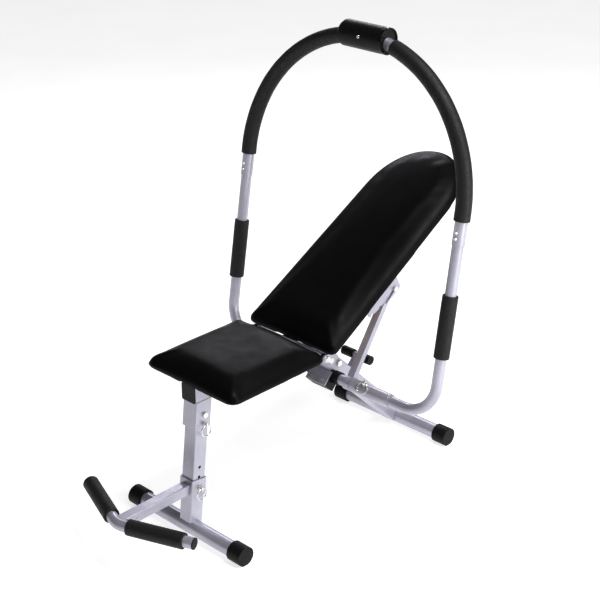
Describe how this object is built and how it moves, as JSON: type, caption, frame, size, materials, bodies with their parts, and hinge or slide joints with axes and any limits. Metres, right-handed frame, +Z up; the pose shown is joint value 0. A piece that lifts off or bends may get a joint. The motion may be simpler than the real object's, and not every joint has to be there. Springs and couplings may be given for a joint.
{
  "type": "ab crunch machine",
  "caption": "Folding ab crunch bench with a padded seat, a reclining padded back on a catch strut, a swinging overhead hoop with foam grips and a foam foot bar that sets at several heights.",
  "frame": {"origin": "on the floor, at the middle of the whole part's footprint box", "axes": "+Y from the front foot to the rear foot, +X to the side of the lock pins (right of a seated user who faces the front foot is -X), +Z up"},
  "size_m": [0.845, 1.3189, 1.2959],
  "materials": {
    "silver": "satin silver grey paint",
    "zinc": "bright zinc plating",
    "rubber": "satin black rubber",
    "black_plastic": "matte black",
    "gloss_black": "glossy black",
    "foam": "matte charcoal foam with a fine wrinkled skin",
    "vinyl": "black vinyl with a soft sheen",
    "plywood": "bare plywood"
  },
  "bodies": {
    "frame": {"main_rail": "silver", "rail_plug": "black_plastic", "front_bracket": "silver", "front_pivot_bolt": "zinc", "gussets": "silver", "rear_leg": "silver", "rear_stabilizer": "silver", "rear_caps": "rubber", "pivot_block": "black_plastic", "clamp_plate": "silver", "clamp_bolts": "zinc", "axle_bushes": "black_plastic", "leg_bolts": "zinc", "hinge_tube": "silver", "hinge_washers": "black_plastic", "hinge_bolts": "zinc", "rest_bar": "silver", "rest_bar_sleeve": "rubber", "seat_bars": "silver", "seat_screws": "zinc", "seat_board": "plywood", "seat_pad": "vinyl"},
    "front_leg": {"front_post": "silver", "front_stabilizer": "silver", "front_caps": "rubber"},
    "carriage": {"carriage_sleeve": "silver", "foot_bar_arm": "silver", "foot_bar": "silver", "foot_plugs": "black_plastic", "foot_foam_right": "foam", "foot_foam_left": "foam"},
    "front_lock": {"front_lock_pin": "zinc"},
    "front_ring": {"front_lock_ring": "zinc"},
    "carriage_lock": {"carriage_lock_pin": "zinc"},
    "carriage_ring": {"carriage_lock_ring": "zinc"},
    "back": {"back_frame": "silver", "back_racks": "silver", "back_screws": "zinc", "back_board": "plywood", "back_pad": "vinyl"},
    "strut": {"strut": "silver", "strut_pin": "zinc"},
    "hoop": {"axle_tube": "silver", "arm_socket_right": "silver", "arm_socket_left": "silver", "hoop_arm_right": "silver", "hoop_arm_left": "silver", "arch_tube_right": "silver", "arch_tube_left": "silver", "arm_rivets": "zinc", "grips": "foam", "arch_foam_right": "foam", "arch_foam_left": "foam", "arch_ferrule": "silver", "roller_shell": "black_plastic", "roller_cap_right": "gloss_black", "roller_cap_left": "black_plastic", "roller_screw": "zinc"},
    "hoop_lock": {"hoop_lock_pin": "zinc"},
    "hoop_ring": {"hoop_lock_ring": "zinc"}
  },
  "joints": [
    {"name": "front_leg_fold", "type": "hinge", "parent": "frame", "child": "front_leg", "pos_m": [0, -0.3538, 0.36132], "axis": [1, 0, 0], "range_deg": [0, 85]},
    {"name": "carriage_height", "type": "slide", "parent": "front_leg", "child": "carriage", "axis": [0, 0.1132, 0.9936], "range_m": [0, 0.06]},
    {"name": "front_lock_pull", "type": "slide", "parent": "frame", "child": "front_lock", "axis": [1, 0, 0], "range_m": [0, 0.012]},
    {"name": "front_ring_swing", "type": "hinge", "parent": "front_lock", "child": "front_ring", "pos_m": [0.035, -0.35674, 0.33549], "axis": [0, -1, 0], "range_deg": [-12, 100]},
    {"name": "carriage_lock_pull", "type": "slide", "parent": "carriage", "child": "carriage_lock", "axis": [1, 0, 0], "range_m": [0, 0.012]},
    {"name": "carriage_ring_swing", "type": "hinge", "parent": "carriage_lock", "child": "carriage_ring", "pos_m": [0.0355, -0.38123, 0.14705], "axis": [0, -1, 0], "range_deg": [-12, 100]},
    {"name": "back_recline", "type": "hinge", "parent": "frame", "child": "back", "pos_m": [0, -0.00138, 0.439], "axis": [1, 0, 0], "range_deg": [0, 30]},
    {"name": "strut_swing", "type": "hinge", "parent": "frame", "child": "strut", "pos_m": [0, 0.14861, 0.288], "axis": [1, 0, 0], "range_deg": [0, 29.2]},
    {"name": "hoop_swing", "type": "hinge", "parent": "frame", "child": "hoop", "pos_m": [0, 0.14861, 0.288], "axis": [1, 0, 0], "range_deg": [0, 60]},
    {"name": "hoop_lock_pull", "type": "slide", "parent": "hoop", "child": "hoop_lock", "axis": [0, -0.309, 0.9511], "range_m": [0, 0.018]},
    {"name": "hoop_ring_swing", "type": "hinge", "parent": "hoop_lock", "child": "hoop_ring", "pos_m": [0.158, 0.1395, 0.31606], "axis": [1, 0, 0], "range_deg": [-120, 0]}
  ],
  "couplings": [
    {"joint": "strut_swing", "follows": "back_recline", "ratio": 0.9667}
  ]
}
